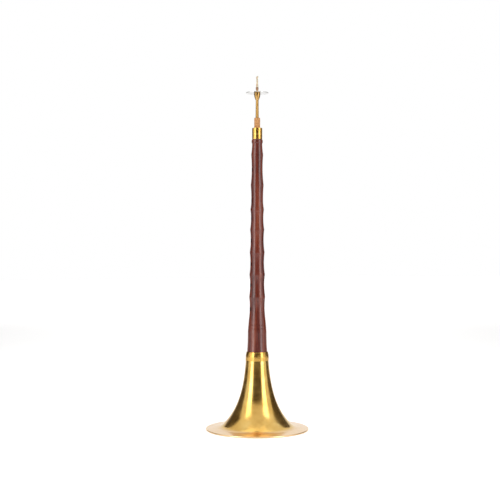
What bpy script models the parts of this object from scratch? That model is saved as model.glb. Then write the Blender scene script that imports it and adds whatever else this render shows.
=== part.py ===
"""A suona: a conical double-reed horn of rosewood that stands on its brass bell.

Metres, +Z up. The origin is the centre of the bell's rim, on the surface that the bell stands on. The
finger holes face -X and the thumb hole faces +X. The reed's two flat sides face -X and +X as well.
"""

from math import cos, exp, pi, radians, sin, tan

import bmesh
import bpy
import numpy as np
from mathutils import Matrix

MM = 0.001

# Gaps between neighbours: a plain one, and a close one for the fine pieces of the mouth end
GAP = 0.3 * MM
CLOSE_GAP = 0.1 * MM

# Bell, spun from sheet brass, with a flat brim whose edge is rolled round a wire
BELL_HEIGHT = 109.2 * MM
BELL_RIM_RADIUS = 81.5 * MM
BELL_NECK_RADIUS = 18.2 * MM
BELL_WALL = 0.6 * MM
FLARE_SCALE = 39.5 * MM
FOLD_RADIUS = 58.5 * MM
FOLD_RISE = 4.0 * MM
FOLD_RUN = 6.0 * MM
BRIM_SLOPE = radians(4.5)
RIM_WIRE_RADIUS = 0.4 * MM
RIM_WIRE_GAP = 0.25 * MM
REST_WIDTH = 1.6 * MM

# Socket in the neck of the bell, turned from brass, with the band that shows
BAND_HEIGHT = 13.7 * MM
BAND_STEP = 0.35 * MM
BAND_LIP = 2.0 * MM
BAND_ROUNDING = 9.0 * MM
SKIRT_LENGTH = 14.0 * MM
SOCKET_WALL = 2.3 * MM

# Thread lapping on the pipe's lower tenon
THREAD_THICKNESS = 0.7 * MM

# Pipe, turned and drilled from rosewood: heights run up from its shoulder
FOOT_LENGTH = 67.3 * MM
HOLE_SPACINGS = [38.1 * MM, 33.3 * MM, 37.0 * MM, 34.9 * MM, 28.9 * MM, 48.4 * MM]
HEAD_LENGTH = 48.3 * MM
SHOULDER_STEP = 1.0 * MM
FOOT_CURVE_HEIGHT = 30.5 * MM
FOOT_CURVE_FLARE = 1.1 * MM
FOOT_RING_HEIGHTS = [36.5 * MM, 42.0 * MM]
FOOT_RING_DEPTH = 0.4 * MM
FOOT_RING_WIDTH = 0.9 * MM
RIDGE_HEIGHT = 1.2 * MM
RIDGE_WIDTH = 0.9 * MM
WALL_AT_FOOT = 3.5 * MM
WALL_AT_HEAD = 4.1 * MM
TENON_LENGTH = 31.0 * MM
TENON_LAND = 3.0 * MM
TENON_LIP = 0.45 * MM
TENON_WALL = 3.9 * MM
BORE_HEAD_RADIUS = 4.0 * MM
BEAD_HEIGHT = 6.5 * MM
BEAD_STEP = 0.8 * MM
SOCKET_CLEARANCE = 2.0 * MM
LOW_HOLE_RADIUS = 3.7 * MM
HIGH_HOLE_RADIUS = 3.2 * MM

# Top ferrule, a brass cap over the head of the pipe
FERRULE_HEIGHT = 18.0 * MM
FERRULE_WALL = 0.7 * MM
HEAD_WALL = 2.1 * MM

# Staple, a thin brass cone in a cork sleeve
STAPLE_FOOT_RADIUS = 3.0 * MM
STAPLE_WAIST_RADIUS = 2.2 * MM
STAPLE_TIP_RADIUS = 1.0 * MM
STAPLE_WALL = 0.35 * MM
STAPLE_BELOW_CORK = 2.0 * MM
STAPLE_NECK_LENGTH = 28.3 * MM
CORK_WALL = 1.6 * MM
CORK_LENGTH = 30.0 * MM
CORK_INSERTED = 14.0 * MM
CORK_PUSH_IN = 12.0 * MM

# Disc seat and air disc
SEAT_HEIGHT = 10.4 * MM
SEAT_EDGE = 0.3 * MM
SEAT_TOP_RADIUS = 5.1 * MM
DISC_RADIUS = 18.2 * MM
DISC_THICKNESS = 1.0 * MM
DISC_ROUNDING = 0.35 * MM

# Reed, a flattened cane tube bound with copper wire
REED_STANDOFF = 3.7 * MM
REED_LENGTH = 22.3 * MM
REED_WALL = 0.3 * MM
REED_OVERLAP = 7.3 * MM
REED_THROAT = 7.7 * MM
REED_TIP_WIDTH = 10.0 * MM
REED_TIP_THICKNESS = 1.3 * MM
WIRE_RADIUS = 0.2 * MM
WIRE_PITCH = 0.85 * MM
WIRE_TURNS = 5
WIRE_START = 0.5 * MM

# Small chamfer on turned edges
CHAMFER = 0.4 * MM

# Faces round each piece and points along its curves
BELL_SIDES = 48
PIPE_SIDES = 32
MOUTH_SIDES = 24
DISC_SIDES = 40
FLARE_POINTS = 11
FOLD_POINTS = 5
HOLLOW_POINTS = 6
FOOT_POINTS = 5
HOLE_SIDES = 18
REED_SECTIONS = 8
WIRE_POINTS_PER_TURN = 24

# Sizes that follow from the ones above
HEM_HEIGHT = 2 * (RIM_WIRE_RADIUS + RIM_WIRE_GAP + BELL_WALL)
HEM_RADIUS = BELL_RIM_RADIUS - HEM_HEIGHT / 2
SKIRT_RADIUS = BELL_NECK_RADIUS - BELL_WALL - GAP
SOCKET_RADIUS = SKIRT_RADIUS - SOCKET_WALL
BAND_FOOT_RADIUS = BELL_NECK_RADIUS + BAND_STEP
BAND_TOP_RADIUS = SOCKET_RADIUS + BAND_LIP
THREAD_OUTER_RADIUS = SOCKET_RADIUS - GAP
THREAD_INNER_RADIUS = THREAD_OUTER_RADIUS - THREAD_THICKNESS
THREAD_LENGTH = TENON_LENGTH - 2 * TENON_LAND - 2 * GAP
RECESS_RADIUS = THREAD_INNER_RADIUS - CLOSE_GAP
TENON_RADIUS = RECESS_RADIUS + TENON_LIP
BORE_FOOT_RADIUS = RECESS_RADIUS - TENON_WALL
SHOULDER_RADIUS = BAND_TOP_RADIUS - SHOULDER_STEP

HOLE_HEIGHTS = [FOOT_LENGTH + sum(HOLE_SPACINGS[:i]) for i in range(len(HOLE_SPACINGS) + 1)]
THUMB_HOLE_HEIGHT = (HOLE_HEIGHTS[-2] + HOLE_HEIGHTS[-1]) / 2
PIPE_LENGTH = HOLE_HEIGHTS[-1] + HEAD_LENGTH
RIDGE_HEIGHTS = [(low + high) / 2 for low, high in zip(HOLE_HEIGHTS, HOLE_HEIGHTS[1:] + [PIPE_LENGTH])]

STAPLE_WAIST_HEIGHT = STAPLE_BELOW_CORK + CORK_LENGTH + STAPLE_NECK_LENGTH
SEAT_TO_TIP = SEAT_HEIGHT + GAP + DISC_THICKNESS + REED_STANDOFF + REED_OVERLAP
STAPLE_LENGTH = STAPLE_WAIST_HEIGHT + SEAT_TO_TIP
CORK_RADIUS = STAPLE_FOOT_RADIUS + CLOSE_GAP + CORK_WALL
CORK_SOCKET_RADIUS = CORK_RADIUS + GAP
CORK_SOCKET_DEPTH = CORK_INSERTED + CORK_PUSH_IN + SOCKET_CLEARANCE
HEAD_RADIUS = CORK_SOCKET_RADIUS + HEAD_WALL
FERRULE_RADIUS = HEAD_RADIUS + GAP + FERRULE_WALL
BEAD_RADIUS = FERRULE_RADIUS + BEAD_STEP

# Where each piece stands, up from the surface under the bell
BAND_Z = BELL_HEIGHT + GAP
SHOULDER_Z = BAND_Z + BAND_HEIGHT + GAP
THREAD_Z = SHOULDER_Z - TENON_LENGTH + TENON_LAND + GAP
FERRULE_Z = SHOULDER_Z + PIPE_LENGTH + GAP
FERRULE_TOP_Z = FERRULE_Z + FERRULE_HEIGHT
CORK_Z = FERRULE_TOP_Z - CORK_INSERTED
STAPLE_Z = CORK_Z - STAPLE_BELOW_CORK
SEAT_Z = STAPLE_Z + STAPLE_WAIST_HEIGHT
DISC_Z = SEAT_Z + SEAT_HEIGHT + GAP
REED_Z = DISC_Z + DISC_THICKNESS + REED_STANDOFF
WIRE_Z = REED_Z + WIRE_START


def finish(name, colour, metallic, roughness):
    """A plain surface finish, its colour in linear red, green and blue."""
    material = bpy.data.materials.new(name)
    material.use_nodes = True
    shader = material.node_tree.nodes["Principled BSDF"]
    shader.inputs["Base Color"].default_value = (*colour, 1.0)
    shader.inputs["Metallic"].default_value = metallic
    shader.inputs["Roughness"].default_value = roughness
    material.diffuse_color = (*colour, 1.0)
    return material


def add_object(name, mesh, material):
    """Puts a finished mesh in the scene, smooth on its curves and sharp at its corners."""
    mesh.materials.append(material)
    mesh.shade_smooth()
    mesh.set_sharp_from_angle(angle=radians(35))
    piece = bpy.data.objects.new(name, mesh)
    bpy.context.collection.objects.link(piece)
    return piece


def turned(name, outline, sides, material):
    """A turned piece: a closed outline of (radius, height) points, spun a full turn about Z."""
    work = bmesh.new()
    points = [work.verts.new((radius, 0.0, height)) for radius, height in outline]
    edges = [work.edges.new((points[i - 1], points[i])) for i in range(len(points))]
    bmesh.ops.spin(work, geom=points + edges, cent=(0, 0, 0), axis=(0, 0, 1), angle=2 * pi, steps=sides)
    bmesh.ops.remove_doubles(work, verts=work.verts, dist=CLOSE_GAP / 100)
    bmesh.ops.recalc_face_normals(work, faces=work.faces)
    mesh = bpy.data.meshes.new(name)
    work.to_mesh(mesh)
    work.free()
    return add_object(name, mesh, material)


def seat(piece, carrier, rise):
    """Stands a piece on the one that carries it, so that it moves with it."""
    piece.parent = carrier
    piece.location = (0.0, 0.0, rise)


def brim_height(radius):
    """The top of the brim, a shallow cone that falls outward to the hem."""
    return HEM_HEIGHT + (HEM_RADIUS - radius) * tan(BRIM_SLOPE)


def bell_curve():
    """(radius, height) points down the outside of the bell, from the neck to the hem.

    The flare is exponential: its radius grows by a constant share for each FLARE_SCALE of height. A
    curve with one control point, where the flare's tangent meets the brim, rounds the fold between them.
    """
    corner = brim_height(FOLD_RADIUS)
    at_neck = exp(-BELL_HEIGHT / FLARE_SCALE)
    growth = (FOLD_RADIUS - BELL_NECK_RADIUS) / (exp(-corner / FLARE_SCALE) - at_neck)
    fold_top = corner + FOLD_RISE
    closer_below = 1 - (1 - np.linspace(0, 1, FLARE_POINTS)) ** 1.7
    heights = BELL_HEIGHT + (fold_top - BELL_HEIGHT) * closer_below
    radii = BELL_NECK_RADIUS + growth * (np.exp(-heights / FLARE_SCALE) - at_neck)

    start = np.array([radii[-1], fold_top])
    spread = growth / FLARE_SCALE * exp(-fold_top / FLARE_SCALE)
    drop = (fold_top - brim_height(start[0])) / (1 - spread * tan(BRIM_SLOPE))
    control = start + drop * np.array([spread, -1.0])
    end_radius = FOLD_RADIUS + FOLD_RUN
    end = np.array([end_radius, brim_height(end_radius)])
    t = np.linspace(0, 1, FOLD_POINTS)[1:, None]
    fold = (1 - t) ** 2 * start + 2 * t * (1 - t) * control + t**2 * end
    return np.vstack([np.stack([radii, heights], axis=1), fold, [[HEM_RADIUS, HEM_HEIGHT]]])


def moved_inward(curve, wall):
    """A curve that runs down and outward, moved square to itself by the wall, towards the inside."""
    along = np.gradient(curve, axis=0)
    along /= np.linalg.norm(along, axis=1, keepdims=True)
    inside = curve + wall * np.stack([along[:, 1], -along[:, 0]], axis=1)
    inside[0, 1] = curve[0, 1]
    return inside


def arc(centre_radius, centre_height, radius, start, end, count):
    """Points on an arc in the (radius, height) plane, with its angles counted from the outward direction."""
    return [
        (centre_radius + radius * cos(angle), centre_height + radius * sin(angle))
        for angle in np.linspace(start, end, count)
    ]


def make_bell(brass):
    """The bell's shell. The hem stays open towards the inside, over a flat leg that the bell stands on."""
    outside = bell_curve()
    inside = moved_inward(outside, BELL_WALL)
    hem = arc(HEM_RADIUS, HEM_HEIGHT / 2, HEM_HEIGHT / 2, pi / 2, -pi / 2, 7)
    leg = [(HEM_RADIUS - REST_WIDTH, 0.0), (HEM_RADIUS - REST_WIDTH, BELL_WALL)]
    hem_inside = arc(HEM_RADIUS, HEM_HEIGHT / 2, HEM_HEIGHT / 2 - BELL_WALL, -pi / 2, pi / 2, 5)
    outline = [*outside[:-1], *hem, *leg, *hem_inside, *inside[-2::-1]]
    return turned("bell", outline, BELL_SIDES, brass)


def make_rim_wire(steel):
    """The wire in the hem, a plain ring."""
    section = arc(HEM_RADIUS, HEM_HEIGHT / 2, RIM_WIRE_RADIUS, 0, 2 * pi, 7)[:-1]
    return turned("rim_wire", section, BELL_SIDES, steel)


def make_bell_collar(brass):
    """The socket ring: a band with a rounded shoulder above, and a skirt inside the neck of the bell."""
    shoulder = [
        (
            BAND_TOP_RADIUS + (BAND_FOOT_RADIUS - BAND_TOP_RADIUS) * sin(depth * pi / 2),
            BAND_HEIGHT - BAND_ROUNDING * depth,
        )
        for depth in np.linspace(0, 1, 6)
    ]
    outline = [
        (SOCKET_RADIUS + CHAMFER, BAND_HEIGHT),
        *shoulder,
        (BAND_FOOT_RADIUS, 0.0),
        (SKIRT_RADIUS, 0.0),
        (SKIRT_RADIUS, -SKIRT_LENGTH),
        (SOCKET_RADIUS, -SKIRT_LENGTH),
        (SOCKET_RADIUS, BAND_HEIGHT - CHAMFER),
    ]
    return turned("bell_collar", outline, PIPE_SIDES, brass)


def make_tenon_thread(thread):
    """The thread lapping, a sleeve in the recess of the tenon."""
    outline = [
        (THREAD_INNER_RADIUS, 0.0),
        (THREAD_OUTER_RADIUS - CHAMFER, 0.0),
        (THREAD_OUTER_RADIUS, CHAMFER),
        (THREAD_OUTER_RADIUS, THREAD_LENGTH - CHAMFER),
        (THREAD_OUTER_RADIUS - CHAMFER, THREAD_LENGTH),
        (THREAD_INNER_RADIUS, THREAD_LENGTH),
    ]
    return turned("tenon_thread", outline, PIPE_SIDES, thread)


def bore_radius(height):
    """The conical bore, from the foot of the tenon to the bottom of the cork's socket."""
    top = PIPE_LENGTH + GAP + FERRULE_HEIGHT - CORK_SOCKET_DEPTH
    share = (height + TENON_LENGTH) / (top + TENON_LENGTH)
    return BORE_FOOT_RADIUS + (BORE_HEAD_RADIUS - BORE_FOOT_RADIUS) * share


def hollow_radius(height):
    """The outside of the pipe where its hollows are deepest: the bore plus the wall at that height."""
    share = (height - HOLE_HEIGHTS[0]) / (PIPE_LENGTH - HOLE_HEIGHTS[0])
    return bore_radius(height) + WALL_AT_FOOT + (WALL_AT_HEAD - WALL_AT_FOOT) * share


def hollow(low, high, deepest):
    """Points up one hollow between two ridges, a parabola on either side of its deepest height."""
    points = []
    for height in np.linspace(low, high, HOLLOW_POINTS):
        reach = high - deepest if height > deepest else deepest - low
        rise = (height - deepest) / reach if reach else 0.0
        points.append((hollow_radius(height) + RIDGE_HEIGHT * rise**2, height))
    return points


def foot_curve():
    """Points up the foot: a slight flare at the shoulder, then a long curve in to the lowest hollow."""
    waist = SHOULDER_RADIUS - FOOT_CURVE_FLARE
    points = [
        (waist + FOOT_CURVE_FLARE * (1 - share) ** 2, FOOT_CURVE_HEIGHT * share)
        for share in np.linspace(0, 1, FOOT_POINTS)
    ]
    lowest = HOLE_HEIGHTS[0]
    fall = hollow_radius(lowest) - waist
    for share in np.linspace(0, 1, FOOT_POINTS + 2)[1:]:
        eased = (share + share**2 * (3 - 2 * share)) / 2
        points.append((waist + fall * eased, FOOT_CURVE_HEIGHT + (lowest - FOOT_CURVE_HEIGHT) * share))
    return points


def with_ring(points, height):
    """The same points with a fine groove turned at one height, a V with its floor between two lips."""
    radii = [radius for radius, _ in points]
    heights = [point_height for _, point_height in points]
    half = FOOT_RING_WIDTH / 2
    groove = [
        (float(np.interp(height + side * half, heights, radii)) - (side == 0) * FOOT_RING_DEPTH, height + side * half)
        for side in (-1, 0, 1)
    ]
    kept = [point for point in points if abs(point[1] - height) > FOOT_RING_WIDTH]
    return sorted(kept + groove, key=lambda point: point[1])


def pipe_outline():
    """The pipe's closed outline: up the outside from the tenon to the head, and down the bore."""
    tenon = [
        (TENON_RADIUS - CHAMFER, -TENON_LENGTH),
        (TENON_RADIUS, CHAMFER - TENON_LENGTH),
        (TENON_RADIUS, TENON_LAND - TENON_LENGTH),
        (RECESS_RADIUS, TENON_LAND - TENON_LENGTH),
        (RECESS_RADIUS, -TENON_LAND),
        (TENON_RADIUS, -TENON_LAND),
        (TENON_RADIUS, 0.0),
    ]
    foot = foot_curve()
    for height in FOOT_RING_HEIGHTS:
        foot = with_ring(foot, height)

    half_ridge = RIDGE_WIDTH / 2
    bead_foot = PIPE_LENGTH - BEAD_HEIGHT
    ends = [HOLE_HEIGHTS[0]] + RIDGE_HEIGHTS + [bead_foot]
    deepest = HOLE_HEIGHTS + [bead_foot]
    hollows = []
    for index, (low, high) in enumerate(zip(ends, ends[1:])):
        low_end = low + half_ridge if index else low
        high_end = high - half_ridge if high != bead_foot else high
        hollows += hollow(low_end, high_end, deepest[index])
    neck_radius = hollow_radius(bead_foot)
    bead = [
        (
            neck_radius + (BEAD_RADIUS - neck_radius) * sin(angle),
            PIPE_LENGTH - BEAD_HEIGHT * (1 + cos(angle)) / 2,
        )
        for angle in np.linspace(0, pi, 7)[1:-1]
    ]
    head_top = PIPE_LENGTH + FERRULE_HEIGHT - FERRULE_WALL
    socket_floor = PIPE_LENGTH + GAP + FERRULE_HEIGHT - CORK_SOCKET_DEPTH
    head = [
        (FERRULE_RADIUS - CHAMFER, PIPE_LENGTH),
        (HEAD_RADIUS, PIPE_LENGTH),
        (HEAD_RADIUS, head_top),
        (CORK_SOCKET_RADIUS, head_top),
        (CORK_SOCKET_RADIUS, socket_floor),
        (BORE_HEAD_RADIUS, socket_floor),
        (BORE_FOOT_RADIUS, -TENON_LENGTH),
    ]
    return [*tenon, *foot[:-1], *hollows, *bead, *head]


def make_hole_cutter():
    """Straight drills for the finger holes and the thumb hole, each from the middle of the bore outward."""
    highest = HOLE_HEIGHTS[-1]
    drills = [(height, -1) for height in HOLE_HEIGHTS] + [(THUMB_HOLE_HEIGHT, 1)]
    reach = 1.5 * SHOULDER_RADIUS
    work = bmesh.new()
    for height, side in drills:
        share = (height - HOLE_HEIGHTS[0]) / (highest - HOLE_HEIGHTS[0])
        radius = LOW_HOLE_RADIUS + (HIGH_HOLE_RADIUS - LOW_HOLE_RADIUS) * share
        place = Matrix.Translation((side * reach / 2, 0.0, height)) @ Matrix.Rotation(pi / 2, 4, "Y")
        bmesh.ops.create_cone(
            work, cap_ends=True, segments=HOLE_SIDES, radius1=radius, radius2=radius, depth=reach, matrix=place
        )
    mesh = bpy.data.meshes.new("hole_drills")
    work.to_mesh(mesh)
    work.free()
    cutter = bpy.data.objects.new("hole_drills", mesh)
    cutter.hide_render = True
    cutter.display_type = "WIRE"
    bpy.context.collection.objects.link(cutter)
    return cutter


def make_pipe(rosewood):
    """The pipe, with its eight holes drilled into the bore."""
    pipe = turned("pipe", pipe_outline(), PIPE_SIDES, rosewood)
    cutter = make_hole_cutter()
    seat(cutter, pipe, 0.0)
    drilled = pipe.modifiers.new("drilled_holes", "BOOLEAN")
    drilled.operation = "DIFFERENCE"
    drilled.solver = "EXACT"
    drilled.object = cutter
    return pipe


def make_top_ferrule(brass):
    """The cap on the head of the pipe, with a rounded top edge and a hole for the cork."""
    rounding = FERRULE_WALL
    outline = [
        (FERRULE_RADIUS - FERRULE_WALL, 0.0),
        (FERRULE_RADIUS, 0.0),
        *arc(FERRULE_RADIUS - rounding, FERRULE_HEIGHT - rounding, rounding, 0, pi / 2, 4),
        (CORK_SOCKET_RADIUS, FERRULE_HEIGHT),
        (CORK_SOCKET_RADIUS, FERRULE_HEIGHT - FERRULE_WALL),
        (FERRULE_RADIUS - FERRULE_WALL, FERRULE_HEIGHT - FERRULE_WALL),
    ]
    return turned("top_ferrule", outline, PIPE_SIDES, brass)


def staple_radius(height):
    """The outside of the staple above its foot: a slow taper to the disc seat, then a quick one to the tip."""
    heights = [0.0, STAPLE_WAIST_HEIGHT, STAPLE_LENGTH]
    return float(np.interp(height, heights, [STAPLE_FOOT_RADIUS, STAPLE_WAIST_RADIUS, STAPLE_TIP_RADIUS]))


def make_staple_tube(brass):
    """The staple, an open tube that tapers towards the reed."""
    heights = [0.0, STAPLE_WAIST_HEIGHT, STAPLE_LENGTH]
    outside = [(staple_radius(height), height) for height in heights]
    inside = [(radius - STAPLE_WALL, height) for radius, height in outside]
    return turned("staple_tube", outside + inside[::-1], MOUTH_SIDES, brass)


def make_staple_cork(cork):
    """The cork sleeve, bored to the staple's taper."""
    foot = staple_radius(STAPLE_BELOW_CORK) + CLOSE_GAP
    top = staple_radius(STAPLE_BELOW_CORK + CORK_LENGTH) + CLOSE_GAP
    outline = [
        (foot, 0.0),
        (CORK_RADIUS - CHAMFER, 0.0),
        (CORK_RADIUS, CHAMFER),
        (CORK_RADIUS, CORK_LENGTH - CHAMFER),
        (CORK_RADIUS - CHAMFER, CORK_LENGTH),
        (top, CORK_LENGTH),
    ]
    return turned("staple_cork", outline, MOUTH_SIDES, cork)


def make_disc_seat(brass):
    """The turned cup under the disc, whose side swells quickly and then stands nearly upright."""
    foot = staple_radius(STAPLE_WAIST_HEIGHT) + CLOSE_GAP
    top = staple_radius(STAPLE_WAIST_HEIGHT + SEAT_HEIGHT) + CLOSE_GAP
    foot_edge = foot + SEAT_EDGE
    side = [
        (foot_edge + (SEAT_TOP_RADIUS - foot_edge) * sin(share * pi / 2), SEAT_HEIGHT * share)
        for share in np.linspace(0, 1, 7)
    ]
    return turned("disc_seat", [(foot, 0.0), *side, (top, SEAT_HEIGHT)], MOUTH_SIDES, brass)


def make_air_disc(plated):
    """The flat disc, with a rounded rim and a hole that clears the staple."""
    hole = staple_radius(DISC_Z - STAPLE_Z) + GAP
    outline = [
        (hole, 0.0),
        *arc(DISC_RADIUS - DISC_ROUNDING, DISC_ROUNDING, DISC_ROUNDING, -pi / 2, 0, 3),
        *arc(DISC_RADIUS - DISC_ROUNDING, DISC_THICKNESS - DISC_ROUNDING, DISC_ROUNDING, 0, pi / 2, 3),
        (hole, DISC_THICKNESS),
    ]
    return turned("air_disc", outline, DISC_SIDES, plated)


def reed_tube_radius():
    """The outside of the reed's round foot, which fits over the staple."""
    return staple_radius(REED_Z - STAPLE_Z) + CLOSE_GAP + REED_WALL


def reed_section(height, wall):
    """One ellipse round the reed, a wall inside its surface: round at the foot, wide and flat at the tip."""
    share = max(0.0, (height - REED_THROAT) / (REED_LENGTH - REED_THROAT))
    spread = (share + share**2 * (3 - 2 * share)) / 2
    flattening = 1 - (1 - share) ** 2
    tube = reed_tube_radius()
    half_width = tube + (REED_TIP_WIDTH / 2 - tube) * spread - wall
    half_thickness = tube + (REED_TIP_THICKNESS / 2 - tube) * flattening - wall
    angles = np.arange(MOUTH_SIDES) * 2 * pi / MOUTH_SIDES
    return [(half_thickness * cos(angle), half_width * sin(angle), height) for angle in angles]


def make_reed(cane):
    """The reed, lofted through ellipses up its outside and down its inside, open at both ends."""
    heights = [0.0, *np.linspace(REED_THROAT, REED_LENGTH, REED_SECTIONS)]
    sections = [reed_section(height, 0.0) for height in heights]
    sections += [reed_section(height, REED_WALL) for height in reversed(heights)]
    work = bmesh.new()
    rings = [[work.verts.new(point) for point in section] for section in sections]
    for ring, following in zip(rings, rings[1:] + rings[:1]):
        for i in range(MOUTH_SIDES):
            work.faces.new((ring[i - 1], ring[i], following[i], following[i - 1]))
    bmesh.ops.recalc_face_normals(work, faces=work.faces)
    mesh = bpy.data.meshes.new("reed")
    work.to_mesh(mesh)
    work.free()
    return add_object("reed", mesh, cane)


def wire_route():
    """The binding wire's middle line: a helix on the reed's foot, its ends straight for one wire diameter."""
    radius = reed_tube_radius() + CLOSE_GAP + WIRE_RADIUS
    angles = np.arange(WIRE_TURNS * WIRE_POINTS_PER_TURN + 1) * 2 * pi / WIRE_POINTS_PER_TURN
    rise = WIRE_RADIUS + WIRE_PITCH * angles / (2 * pi)
    helix = np.stack([radius * np.cos(angles), radius * np.sin(angles), rise], axis=1)
    along = np.array([0.0, radius, WIRE_PITCH / (2 * pi)])
    along /= np.linalg.norm(along)
    return np.vstack([helix[0] - 2 * WIRE_RADIUS * along, helix, helix[-1] + 2 * WIRE_RADIUS * along])


def least_gap_to_itself(route, radius):
    """The least clear space between two stretches of a tube that lie over half a turn apart on it."""
    apart = WIRE_POINTS_PER_TURN // 2
    distances = [
        np.linalg.norm(route[i + apart :] - route[i], axis=1).min() for i in range(len(route) - apart)
    ]
    return min(distances) - 2 * radius


def make_reed_wire(copper):
    """The wire binding, one unbroken tube."""
    route = wire_route()
    print(f"reed_wire: least gap to itself {least_gap_to_itself(route, WIRE_RADIUS) / MM:.2f} mm")
    curve = bpy.data.curves.new("reed_wire", "CURVE")
    curve.dimensions = "3D"
    curve.bevel_depth = WIRE_RADIUS
    curve.bevel_resolution = 1
    curve.use_fill_caps = True
    spline = curve.splines.new("POLY")
    spline.points.add(len(route) - 1)
    for point, place in zip(spline.points, route):
        point.co = (*place, 1.0)
    curve.materials.append(copper)
    wire = bpy.data.objects.new("reed_wire", curve)
    bpy.context.collection.objects.link(wire)
    return wire


def make_suona():
    """Makes every piece and stands each on the one that carries it."""
    brass = finish("polished_brass", (0.83, 0.58, 0.22), 1.0, 0.12)
    silver_plate = finish("silver_plate", (0.78, 0.78, 0.77), 1.0, 0.15)
    steel = finish("steel_wire", (0.45, 0.45, 0.46), 1.0, 0.35)
    copper = finish("copper_wire", (0.42, 0.20, 0.09), 1.0, 0.35)
    rosewood = finish("oiled_rosewood", (0.14, 0.036, 0.022), 0.0, 0.25)
    cotton = finish("waxed_thread", (0.48, 0.40, 0.28), 0.0, 0.8)
    cork = finish("cork", (0.60, 0.33, 0.14), 0.0, 0.85)
    cane = finish("reed_cane", (0.78, 0.70, 0.52), 0.0, 0.55)

    bell = make_bell(brass)
    rim_wire = make_rim_wire(steel)
    collar = make_bell_collar(brass)
    thread = make_tenon_thread(cotton)
    pipe = make_pipe(rosewood)
    ferrule = make_top_ferrule(brass)
    staple_cork = make_staple_cork(cork)
    staple = make_staple_tube(brass)
    disc_seat = make_disc_seat(brass)
    air_disc = make_air_disc(silver_plate)
    wire = make_reed_wire(copper)
    reed = make_reed(cane)

    seat(rim_wire, bell, 0.0)
    seat(collar, bell, BAND_Z)
    seat(thread, bell, THREAD_Z)
    seat(pipe, thread, SHOULDER_Z - THREAD_Z)
    seat(ferrule, pipe, FERRULE_Z - SHOULDER_Z)
    seat(staple_cork, pipe, CORK_Z - SHOULDER_Z)
    seat(staple, staple_cork, STAPLE_Z - CORK_Z)
    seat(disc_seat, staple, SEAT_Z - STAPLE_Z)
    seat(air_disc, staple, DISC_Z - STAPLE_Z)
    seat(wire, staple, WIRE_Z - STAPLE_Z)
    seat(reed, wire, REED_Z - WIRE_Z)


for leftover in list(bpy.data.objects):
    bpy.data.objects.remove(leftover, do_unlink=True)
make_suona()
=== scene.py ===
from math import pi, radians, tan

import bpy
import numpy as np
from mathutils import Matrix, Vector


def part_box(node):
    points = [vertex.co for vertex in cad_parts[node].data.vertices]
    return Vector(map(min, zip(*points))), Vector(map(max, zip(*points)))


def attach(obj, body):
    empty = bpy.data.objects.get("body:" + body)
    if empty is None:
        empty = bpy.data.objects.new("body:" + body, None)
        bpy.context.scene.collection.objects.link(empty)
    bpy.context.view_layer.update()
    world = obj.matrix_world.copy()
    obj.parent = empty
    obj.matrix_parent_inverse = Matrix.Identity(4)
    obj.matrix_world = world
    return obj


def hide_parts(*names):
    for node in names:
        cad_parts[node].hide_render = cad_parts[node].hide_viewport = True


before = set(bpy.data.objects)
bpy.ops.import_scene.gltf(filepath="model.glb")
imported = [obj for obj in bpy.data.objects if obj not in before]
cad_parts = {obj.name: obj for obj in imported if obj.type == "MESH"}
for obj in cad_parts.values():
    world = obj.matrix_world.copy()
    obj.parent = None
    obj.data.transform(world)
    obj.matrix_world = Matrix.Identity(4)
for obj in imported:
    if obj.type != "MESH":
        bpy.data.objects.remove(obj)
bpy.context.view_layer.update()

# The bell is spun from brass sheet 0.6 mm thick. Its radius grows exponentially down the flare, bends
# over a rounded fold and runs out as a shallow brim to a hem that is rolled round a wire.
MM = 0.001

bell_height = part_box("bell")[1].z
rim_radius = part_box("bell")[1].x
neck_radius = 18.2 * MM
bell_wall = 0.6 * MM
flare_scale = 39.5 * MM
fold_radius = 58.5 * MM
fold_rise = 4.0 * MM
fold_run = 6.0 * MM
brim_slope = tan(radians(4.5))
hem_height = 2.5 * MM
hem_leg = 1.6 * MM
hem_radius = rim_radius - hem_height / 2
closer_to_the_fold = 1.7
flare_points = 44
fold_points = 14
hem_points = 17
bell_sides = 180


def smooth(mesh, sharp_angle=radians(32)):
    """Shades a mesh smooth, but for the edges where it turns by more than an angle."""
    mesh.shade_smooth()
    mesh.set_sharp_from_angle(angle=sharp_angle)


def turned(name, outline, sides, body, node):
    """A turned piece that stands for a CAD node. Each (radius, height) point of its closed outline is
    carried once round the bore: x = radius times cos turn, y = radius times sin turn, z = height."""
    radius, height = np.asarray(outline, float).T
    turn = np.linspace(0, 2 * pi, sides, endpoint=False)[:, None]
    points = np.stack([radius * np.cos(turn), radius * np.sin(turn), height + 0 * turn], axis=2)
    count = len(radius)
    ring, step = np.meshgrid(np.arange(sides), np.arange(count), indexing="ij")
    next_ring = (ring + 1) % sides
    next_step = (step + 1) % count
    corners = [(ring, step), (next_ring, step), (next_ring, next_step), (ring, next_step)]
    faces = np.stack([around * count + along for around, along in corners], axis=2).reshape(-1, 4)
    mesh = bpy.data.meshes.new(name)
    mesh.from_pydata(points.reshape(-1, 3).tolist(), [], faces.tolist())
    smooth(mesh)
    piece = bpy.data.objects.new(name, mesh)
    bpy.context.collection.objects.link(piece)
    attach(piece, body)
    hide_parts(node)
    return piece


def arc_about_the_wire(radius, turns):
    """Points on an arc in the hem: outward by radius times cos turn, upward by radius times sin turn."""
    return np.stack([hem_radius + radius * np.cos(turns), hem_height / 2 + radius * np.sin(turns)], axis=1)


def linear(code):
    """A colour in sRGB hex as linear red, green and blue, with an alpha of 1."""
    parts = [int(code[i : i + 2], 16) / 255 for i in (0, 2, 4)]
    return (*[part / 12.92 if part <= 0.04045 else ((part + 0.055) / 1.055) ** 2.4 for part in parts], 1.0)


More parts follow.
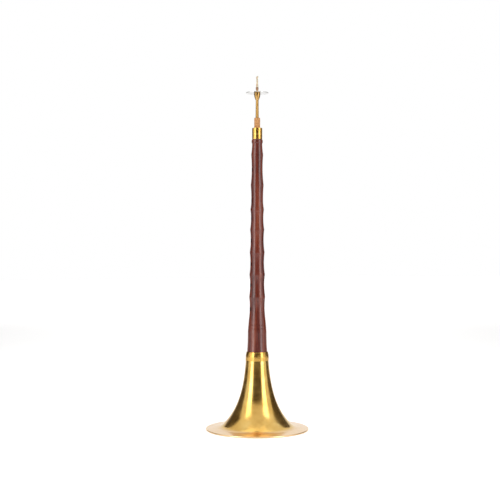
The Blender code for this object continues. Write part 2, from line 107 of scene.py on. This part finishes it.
def add(tree, kind, settings, links, stops=()):
    """Adds a node to a tree with its settings, its links and, on a ramp, its colour stops. A socket is
    named, or numbered from 0 where several share a name."""
    new = tree.nodes.new(kind)
    for key, value in settings.items():
        if isinstance(key, int) or key in new.inputs:
            new.inputs[key].default_value = value
        else:
            setattr(new, key, value)
    for key, source in links.items():
        tree.links.new(source, new.inputs[key])
    for index, (position, code) in enumerate(stops):
        elements = new.color_ramp.elements
        element = elements[index] if index < len(elements) else elements.new(position)
        element.position = position
        element.color = linear(code)
    return new


def finish(name, values, colour, gloss=None, relief=None):
    """A material with the given values on its shader and up to three layers of noise, on Object
    coordinates: its colour, its gloss and its relief.

    Each layer opens with the size of its grain in mm along x, y and z, and with how finely the grain is
    broken up. The colour goes on with its (position, hex) stops, the gloss with its lowest and highest
    roughness and the relief with its strength and its depth in mm. Beside the material, the sockets
    come back by name: each layer's noise, and the colour as tone. Most of a noise lies between 0.3 and
    0.7, so that part of it is spread over the roughness.
    """
    material = bpy.data.materials.new(name)
    material.use_nodes = True
    tree = material.node_tree
    shader = tree.nodes["Principled BSDF"]
    for socket, value in values.items():
        shader.inputs[socket].default_value = value
    place = add(tree, "ShaderNodeTexCoord", {}, {}).outputs["Object"]
    sockets = {"place": place}
    for layer, recipe in {"colour": colour, "gloss": gloss, "relief": relief}.items():
        if recipe:
            grain, breakup = recipe[:2]
            scale = {"Scale": [1 / (size * MM) for size in grain]}
            grown = add(tree, "ShaderNodeMapping", scale, {"Vector": place}).outputs["Vector"]
            broken = {"Scale": 1.0, "Detail": breakup, "Roughness": 0.6}
            sockets[layer] = add(tree, "ShaderNodeTexNoise", broken, {"Vector": grown}).outputs["Fac"]
    ramp = add(tree, "ShaderNodeValToRGB", {}, {"Fac": sockets["colour"]}, colour[2])
    sockets["tone"] = ramp.outputs["Color"]
    tree.links.new(sockets["tone"], shader.inputs["Base Color"])
    if gloss:
        reach = {"From Min": 0.3, "From Max": 0.7, "To Min": gloss[2], "To Max": gloss[3]}
        roughness = add(tree, "ShaderNodeMapRange", reach, {"Value": sockets["gloss"]})
        tree.links.new(roughness.outputs["Result"], shader.inputs["Roughness"])
    if relief:
        raised = {"Strength": relief[2], "Distance": relief[3] * MM}
        bump = add(tree, "ShaderNodeBump", raised, {"Height": sockets["relief"]})
        tree.links.new(bump.outputs["Normal"], shader.inputs["Normal"])
    return material, sockets


def dress(piece, material):
    """Gives a piece this material and no other."""
    piece.data.materials.clear()
    piece.data.materials.append(material)


brim_at_fold = hem_height + (hem_radius - fold_radius) * brim_slope
at_neck = np.exp(-bell_height / flare_scale)
growth = (fold_radius - neck_radius) / (np.exp(-brim_at_fold / flare_scale) - at_neck)
way_down = 1 - (1 - np.linspace(0, 1, flare_points)) ** closer_to_the_fold
heights = bell_height + (brim_at_fold + fold_rise - bell_height) * way_down
radii = neck_radius + growth * (np.exp(-heights / flare_scale) - at_neck)

# The fold is a curve with one control point, where the flare's last direction meets the brim.
fold_start = np.array([radii[-1], heights[-1]])
widening = growth / flare_scale * np.exp(-heights[-1] / flare_scale)
above_brim = fold_start[1] - hem_height - (hem_radius - fold_start[0]) * brim_slope
control = fold_start + above_brim / (1 - widening * brim_slope) * np.array([widening, -1.0])
fold_end_radius = fold_radius + fold_run
fold_end = np.array([fold_end_radius, hem_height + (hem_radius - fold_end_radius) * brim_slope])
t = np.linspace(0, 1, fold_points)[1:, None]
fold = (1 - t) ** 2 * fold_start + 2 * t * (1 - t) * control + t**2 * fold_end

outside = np.vstack([np.stack([radii, heights], axis=1), fold, [[hem_radius, hem_height]]])
along = np.gradient(outside, axis=0)
along /= np.linalg.norm(along, axis=1, keepdims=True)
inside = outside + bell_wall * np.stack([along[:, 1], -along[:, 0]], axis=1)
inside[0, 1] = bell_height
over_the_hem = np.linspace(pi / 2, -pi / 2, hem_points)
leg = [[hem_radius - hem_leg, 0.0], [hem_radius - hem_leg, bell_wall]]
hem = arc_about_the_wire(hem_height / 2, over_the_hem)
hem_inside = arc_about_the_wire(hem_height / 2 - bell_wall, over_the_hem[::-2])
outline = np.vstack([outside[:-1], hem, leg, hem_inside, inside[-2::-1]])
bell = turned("bell_shell", outline, bell_sides, "bell", "bell")

# Polished brass is warm yellow and mirrors its surroundings a little softly. Burnishing leaves fine rings
# round the bell. The brim's colour is painted paler than the flare's: a painted reflection of the bright room
# above it.
brass, sockets = finish(
    "spun_brass",
    {"Metallic": 1.0, "Roughness": 0.2},
    colour=((45.5, 45.5, 33.3), 5, [(0.3, "c79b4e"), (0.5, "dbb262"), (0.7, "e6c47a")]),
    gloss=((16.7, 16.7, 11.1), 6, 0.13, 0.27),
    relief=((167, 167, 0.455), 2, 0.12, 0.2),
)
tree = brass.node_tree
height = add(tree, "ShaderNodeSeparateXYZ", {}, {"Vector": sockets["place"]}).outputs["Z"]
# Painted reflection: from 6.5 mm down to 3 mm above the rim, the colour is mixed towards pale cream.
brim_reflection_fade = {"From Min": 6.5 * MM, "From Max": 3.0 * MM}
brim_reflection_mask = add(tree, "ShaderNodeMapRange", brim_reflection_fade, {"Value": height}).outputs["Result"]
painted_brim_reflection = {"data_type": "RGBA", 7: linear("ecca9c")}
tone = add(tree, "ShaderNodeMix", painted_brim_reflection, {0: brim_reflection_mask, 6: sockets["tone"]}).outputs[2]
tree.links.new(tone, tree.nodes["Principled BSDF"].inputs["Base Color"])
dress(bell, brass)
dress(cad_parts["bell"], brass)

# The rim wire lies in the hem and shows only from below. It is drawn steel, grey and dull, with the
# finest mottling of its surface drawn 3 mm across.
wire_steel, sockets = finish(
    "drawn_steel",
    {"Metallic": 1.0, "Roughness": 0.4},
    colour=((3.33, 3.33, 3.33), 3, [(0.3, "6e6e70"), (0.7, "9b9b9d")]),
)
dress(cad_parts["rim_wire"], wire_steel)

# The socket ring in the bell's neck is turned from brass, like the ferrule on the pipe's head: duller
# than the bell, with the lathe's marks round it every quarter of a millimetre.
turned_brass, sockets = finish(
    "turned_brass",
    {"Metallic": 1.0, "Roughness": 0.24},
    colour=((25, 25, 6.25), 5, [(0.3, "c39649"), (0.55, "d0a355"), (0.75, "dab369")]),
    gloss=((11.1, 11.1, 3.33), 6, 0.16, 0.34),
    relief=((125, 125, 0.25), 2, 0.15, 0.2),
)
dress(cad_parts["bell_collar"], turned_brass)

# The thread lapping is waxed cotton wound side by side round the tenon. Its turns show as fine ridges
# and as lighter and darker lines, a dull buff without gloss.
cotton, sockets = finish(
    "waxed_thread",
    {"Roughness": 0.75},
    colour=((16.7, 16.7, 0.385), 3, [(0.35, "6d5a3a"), (0.65, "a89268")]),
    relief=((200, 200, 0.278), 1, 0.6, 0.4),
)
dress(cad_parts["tenon_thread"], cotton)

# The pipe is turned rosewood over a conical bore. Ridges stand midway between the finger holes, and the
# hollow between two ridges is deepest at its hole, where the wall is the bore and a few millimetres.
tenon_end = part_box("pipe")[0].z
head_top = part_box("pipe")[1].z
fit_gap = 0.3 * MM
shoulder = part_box("bell_collar")[1].z + fit_gap
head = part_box("top_ferrule")[0].z - fit_gap
bore_end = 450.0 * MM
bore_foot_radius = 10.0 * MM
bore_head_radius = 4.0 * MM
wall_at_foot = 3.5 * MM
wall_gain = 0.6 * MM
waist_radius = 14.9 * MM
shoulder_flare = 1.1 * MM
foot_curve = 30.5 * MM
ring_heights = [160.0 * MM, 165.5 * MM]
ring_width = 0.9 * MM
ring_depth = 0.4 * MM
ridge_height = 1.2 * MM
ridge_width = 0.9 * MM
bead_height = 6.5 * MM
bead_radius = 8.9 * MM
tenon_radius = 14.35 * MM
recess_radius = 13.9 * MM
tenon_land = 3.0 * MM
chamfer = 0.4 * MM
head_radius = 7.1 * MM
ferrule_seat_radius = 7.7 * MM
cork_socket_radius = 5.0 * MM
hole_heights = np.array([190.8, 228.9, 262.2, 299.2, 334.1, 363.0, 411.4]) * MM
thumb_hole_height = 387.2 * MM
low_hole_radius = 3.7 * MM
high_hole_radius = 3.2 * MM
drill_reach = 24.0 * MM
least_reach = 0.000001 * MM
curve_points = 20
hollow_points = 16
bead_points = 14
pipe_sides = 128
drill_sides = 40


def thin_wall(z):
    """The pipe's outer radius where it is thinnest: the cone of the bore, and a wall that grows by an
    even share from the lowest hole to the head."""
    bore = bore_foot_radius + (bore_head_radius - bore_foot_radius) * (z - tenon_end) / (bore_end - tenon_end)
    return bore + wall_at_foot + wall_gain * (z - hole_heights[0]) / (head - hole_heights[0])


def hollow(low, high, deepest):
    """Points up one hollow: the thin wall, and the ridge's height times the square of how far the point
    is from the deepest one towards its ridge. The deepest point may be one of its ends."""
    z = np.linspace(low, high, hollow_points)
    reach = np.where(z > deepest, high - deepest, deepest - low)
    way = (z - deepest) / np.maximum(reach, least_reach)
    return np.stack([thin_wall(z) + ridge_height * way**2, z], axis=1)


def with_ring(points, middle):
    """The same points with a groove turned at one height: two lips, and a floor between them."""
    z = middle + ring_width * np.array([-1 / 2, -1 / 6, 1 / 6, 1 / 2])
    depth = ring_depth * np.array([0, 1, 1, 0])
    groove = np.stack([np.interp(z, points[:, 1], points[:, 0]) - depth, z], axis=1)
    beside = points[np.abs(points[:, 1] - middle) > ring_width * 2 / 3]
    points = np.vstack([beside, groove])
    return points[np.argsort(points[:, 1])]


def drills(heights, directions, radii):
    """Closed cylinders that cut the holes, each from the middle of the bore out along x by the reach:
    y = radius times cos turn, z = height plus radius times sin turn."""
    turn = np.linspace(0, 2 * pi, drill_sides, endpoint=False)
    low_end = np.minimum(0, drill_reach * directions)
    x = np.stack([low_end, low_end + drill_reach], axis=1)[:, :, None] + 0 * turn
    y = radii[:, None, None] * np.cos(turn) + 0 * x
    z = heights[:, None, None] + radii[:, None, None] * np.sin(turn) + 0 * x
    points = np.stack([x, y, z], axis=3).reshape(-1, 3)
    step = np.arange(drill_sides)
    after = (step + 1) % drill_sides
    first = 2 * drill_sides * np.arange(len(heights))[:, None]
    around = np.stack([step, after, after + drill_sides, step + drill_sides], axis=1)
    faces = (around + first[:, :, None]).reshape(-1, 4).tolist()
    faces += (step[::-1] + first).tolist()
    faces += (step + drill_sides + first).tolist()
    mesh = bpy.data.meshes.new("drills")
    mesh.from_pydata(points.tolist(), [], faces)
    piece = bpy.data.objects.new("drills", mesh)
    bpy.context.collection.objects.link(piece)
    return piece


share = np.linspace(0, 1, curve_points)
flared = np.stack([waist_radius + shoulder_flare * (1 - share) ** 2, shoulder + foot_curve * share], axis=1)
higher = share[1:]
eased = (higher + higher**2 * (3 - 2 * higher)) / 2
foot_top = shoulder + foot_curve
narrowing = thin_wall(hole_heights[0]) - waist_radius
rise = hole_heights[0] - foot_top
above = np.stack([waist_radius + narrowing * eased, foot_top + rise * higher], axis=1)
foot = np.vstack([flared, above])
for middle in ring_heights:
    foot = with_ring(foot, middle)

bead_foot = head - bead_height
ridges = (hole_heights + np.append(hole_heights[1:], head)) / 2
lows = np.append(hole_heights[0], ridges + ridge_width / 2)
highs = np.append(ridges - ridge_width / 2, bead_foot)
hollows = [hollow(*ends) for ends in zip(lows, highs, np.append(hole_heights, bead_foot))]

over_the_bead = np.linspace(0, pi, bead_points)[1:-1]
neck = thin_wall(bead_foot)
bead_radii = neck + (bead_radius - neck) * np.sin(over_the_bead)
bead_heights = head - bead_height * (1 + np.cos(over_the_bead)) / 2
bead = np.stack([bead_radii, bead_heights], axis=1)
tenon = [
    [tenon_radius - chamfer, tenon_end],
    [tenon_radius, tenon_end + chamfer],
    [tenon_radius, tenon_end + tenon_land],
    [recess_radius, tenon_end + tenon_land],
    [recess_radius, shoulder - tenon_land],
    [tenon_radius, shoulder - tenon_land],
    [tenon_radius, shoulder],
]
head_and_bore = [
    [ferrule_seat_radius, head],
    [head_radius, head],
    [head_radius, head_top],
    [cork_socket_radius, head_top],
    [cork_socket_radius, bore_end],
    [bore_head_radius, bore_end],
    [bore_foot_radius, tenon_end],
]
outline = np.vstack([tenon, foot[:-1], *hollows, bead, head_and_bore])
pipe = turned("pipe_body", outline, pipe_sides, "pipe", "pipe")

drill_heights = np.append(hole_heights, thumb_hole_height)
drill_directions = np.append(-np.ones(len(hole_heights)), 1)
way_up = (drill_heights - hole_heights[0]) / (hole_heights[-1] - hole_heights[0])
drill_radii = low_hole_radius + (high_hole_radius - low_hole_radius) * way_up
cutter = drills(drill_heights, drill_directions, drill_radii)
cut = pipe.modifiers.new("finger_holes", "BOOLEAN")
cut.object = cutter
cut.solver = "EXACT"
bored = bpy.data.meshes.new_from_object(pipe.evaluated_get(bpy.context.evaluated_depsgraph_get()))
pipe.modifiers.clear()
pipe.data = bored
bored.name = "pipe_body"
smooth(bored)
bpy.data.objects.remove(cutter)

# Oiled rosewood is dark red brown with long streaks down the pipe, and its open pores are drawn 1 mm
# wide so that they show. The buffed oil lies over it as a thin coat.
rosewood, sockets = finish(
    "rosewood",
    {"Roughness": 0.25, "Coat Weight": 0.2, "Coat Roughness": 0.12},
    colour=((7.69, 7.69, 167), 5, [(0.28, "2c0f0b"), (0.46, "5a2118"), (0.62, "74321f"), (0.8, "8a4a30")]),
    gloss=((3.33, 3.33, 50), 3, 0.2, 0.34),
    relief=((1.11, 1.11, 38.5), 2, 0.1, 0.2),
)
tree = rosewood.node_tree
pore_stops = [(0.3, "30221f"), (0.42, "ffffff")]
pores = add(tree, "ShaderNodeValToRGB", {}, {"Fac": sockets["relief"]}, pore_stops).outputs["Color"]
darkened = {"data_type": "RGBA", "blend_type": "MULTIPLY", 0: 0.7}
tone = add(tree, "ShaderNodeMix", darkened, {6: sockets["tone"], 7: pores}).outputs[2]
tree.links.new(tone, tree.nodes["Principled BSDF"].inputs["Base Color"])
dress(pipe, rosewood)
dress(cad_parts["pipe"], rosewood)

# The ferrule is a turned brass cap over the pipe's head, open at its top for the cork. It has the same
# finish as the socket ring in the bell.
dress(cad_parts["top_ferrule"], turned_brass)

# The staple's cork is natural cork cut as a sleeve and sanded: warm brown and matt, with small darker
# pits about 1 mm across.
cork, sockets = finish(
    "cork",
    {"Roughness": 0.85},
    colour=((1.43, 1.43, 2.22), 6, [(0.3, "6e4325"), (0.42, "b07c4c"), (0.65, "d09a66")]),
    relief=((1.11, 1.11, 1.43), 4, 0.5, 0.4),
)
dress(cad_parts["staple_cork"], cork)

# The staple is a rolled tube of thin brass, and the seat under the disc is turned and soldered on it.
# Both have gone dull and a little brown with handling, in patches of a few millimetres.
dull_brass, sockets = finish(
    "dull_brass",
    {"Metallic": 1.0, "Roughness": 0.34},
    colour=((5, 5, 8.33), 6, [(0.3, "a07a42"), (0.6, "b89257"), (0.8, "c9a870")]),
    gloss=((2.5, 2.5, 2.5), 5, 0.24, 0.44),
)
for node in ("staple_tube", "disc_seat"):
    dress(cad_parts[node], dull_brass)

# The air disc, which the lips rest on, is silver plated and polished: a neutral mirror with faint
# rubbed lines that run one way.
plate, sockets = finish(
    "silver_plate",
    {"Metallic": 1.0, "Roughness": 0.14},
    colour=((8.33, 8.33, 8.33), 5, [(0.3, "b9b8b4"), (0.7, "d9d8d5")]),
    gloss=((1.11, 16.7, 2.5), 4, 0.08, 0.22),
)
dress(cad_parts["air_disc"], plate)

# The wire wound five times round the reed's foot is drawn copper. It has darkened to brown, unevenly,
# in spots of a millimetre or two.
copper, sockets = finish(
    "copper_wire",
    {"Metallic": 1.0, "Roughness": 0.32},
    colour=((1.43, 1.43, 1.43), 4, [(0.3, "7a4426"), (0.7, "b87a50")]),
)
dress(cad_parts["reed_wire"], copper)

# The reed is scraped cane, pressed flat above its bound foot: pale ivory and matt, with fibres along it
# that are drawn half a millimetre wide. The thin cane lets a little light in.
cane, sockets = finish(
    "reed_cane",
    {"Roughness": 0.55, "Subsurface Weight": 0.15, "Subsurface Scale": 1.0 * MM},
    colour=((0.556, 0.556, 16.7), 3, [(0.3, "b8a17c"), (0.55, "d3c5ab"), (0.75, "dfd6c6")]),
    relief=((0.556, 0.556, 16.7), 3, 0.25, 0.2),
)
dress(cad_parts["reed"], cane)

# The floor is plain white. A camera or a mirror sees it a little brighter than light falls on it, so
# that it joins the white surroundings and still keeps the suona's shadow.
floor_reach = 8.0
under_the_rim = 0.1 * MM
floor_lift = 0.25


def flat_piece(name, paint, code, corners):
    """A matt piece of the studio, made of quads: four (x, y, z) corners for each."""
    mesh = bpy.data.meshes.new(name)
    mesh.from_pydata(corners, [], np.arange(len(corners)).reshape(-1, 4).tolist())
    material = bpy.data.materials.new(paint)
    material.use_nodes = True
    shader = material.node_tree.nodes["Principled BSDF"]
    shader.inputs["Base Color"].default_value = linear(code)
    shader.inputs["Roughness"].default_value = 1.0
    mesh.materials.append(material)
    piece = bpy.data.objects.new(name, mesh)
    bpy.context.collection.objects.link(piece)
    return piece


def seen_by(tree, kinds):
    """A value of 1 on a ray of any of these kinds, and 0 on every other ray."""
    rays = add(tree, "ShaderNodeLightPath", {}, {}).outputs
    seen = rays[kinds[0]]
    for kind in kinds[1:]:
        seen = add(tree, "ShaderNodeMath", {"operation": "MAXIMUM"}, {0: seen, 1: rays[kind]}).outputs[0]
    return seen


floor_corners = [(x * floor_reach, y * floor_reach, 0) for x, y in ((-1, -1), (1, -1), (1, 1), (-1, 1))]
floor = flat_piece("floor", "floor_white", "ffffff", floor_corners)
floor.location.z = -under_the_rim
tree = floor.active_material.node_tree
shader = tree.nodes["Principled BSDF"]
seen = seen_by(tree, ["Is Camera Ray", "Is Glossy Ray"])
lift = add(tree, "ShaderNodeMath", {"operation": "MULTIPLY", 1: floor_lift}, {0: seen}).outputs[0]
shader.inputs["Emission Color"].default_value = linear("ffffff")
tree.links.new(lift, shader.inputs["Emission Strength"])

# Dark cards behind the camera and along both sides of the floor give the brass its dark middle and
# edges. They show only in what mirrors them. From here on, the studio is turned a little towards the
# finger holes.
view_turn = radians(-18)
facing = Matrix.Rotation(view_turn, 4, "Z")


def upright(start, end, height):
    """The corners of a card that stands on the floor from one (x, y) point to another."""
    return [(*start, 0), (*end, 0), (*end, height), (*start, height)]


cards = upright((-1.5, -2.3), (1.5, -2.3), height=1.6)
for x in (-1.4, 1.4):
    cards += upright((x, 0.1), (x, 2.4), height=1.3)
dark_card = flat_piece("dark_card", "dark_card", "564c3e", [facing @ Vector(corner) for corner in cards])
dark_card.visible_camera = False

# Two tall soft boxes stand left and right of the camera, and a weaker one hangs over the reed. Each is
# an area light that looks at a point a little below the middle of the suona.
aim_height = 0.25
aimed_at = facing @ Vector((0, 0, aim_height))
boxes = {
    "left_box": ((-1.1, -0.9, 0.7), (0.6, 1.4), 9),
    "right_box": ((1.1, -0.9, 0.7), (0.6, 1.4), 8),
    "top_box": ((0.0, 0.1, 1.7), (1.2, 1.2), 3),
}
for name, (place, size, power) in boxes.items():
    light = bpy.data.lights.new(name, "AREA")
    light.shape = "RECTANGLE"
    light.size = size[0]
    light.size_y = size[1]
    light.energy = power
    lamp = bpy.data.objects.new(name, light)
    lamp.location = facing @ Vector(place)
    lamp.rotation_euler = (aimed_at - lamp.location).to_track_quat("-Z", "Y").to_euler()
    bpy.context.collection.objects.link(lamp)

# The surroundings are white: at full strength where the camera, a mirror or glass sees them, and a
# little weaker as light.
weaker = 0.9

world = bpy.data.worlds.new("studio")
world.use_nodes = True
bpy.context.scene.world = world
tree = world.node_tree
sky = tree.nodes["Background"]
sky.inputs["Color"].default_value = linear("ffffff")
seen = seen_by(tree, ["Is Camera Ray", "Is Glossy Ray", "Is Transmission Ray"])
strength = add(tree, "ShaderNodeMapRange", {"To Min": weaker}, {"Value": seen}).outputs["Result"]
tree.links.new(strength, sky.inputs["Strength"])

# The camera is level, 1.62 m away and half as high as the suona. It stands 18 degrees round from the
# side, towards the finger holes, so that they show in the pipe's left edge.
camera_data = bpy.data.cameras.new("camera")
camera_data.lens = 73.44
camera_data.sensor_width = 36.0
camera = bpy.data.objects.new("camera", camera_data)
camera.location = facing @ Vector((-0.0114, -1.619, 0.2844))
camera.rotation_euler = (pi / 2, 0, view_turn)
bpy.context.collection.objects.link(camera)
bpy.context.scene.camera = camera
bpy.context.scene.view_settings.view_transform = "Standard"
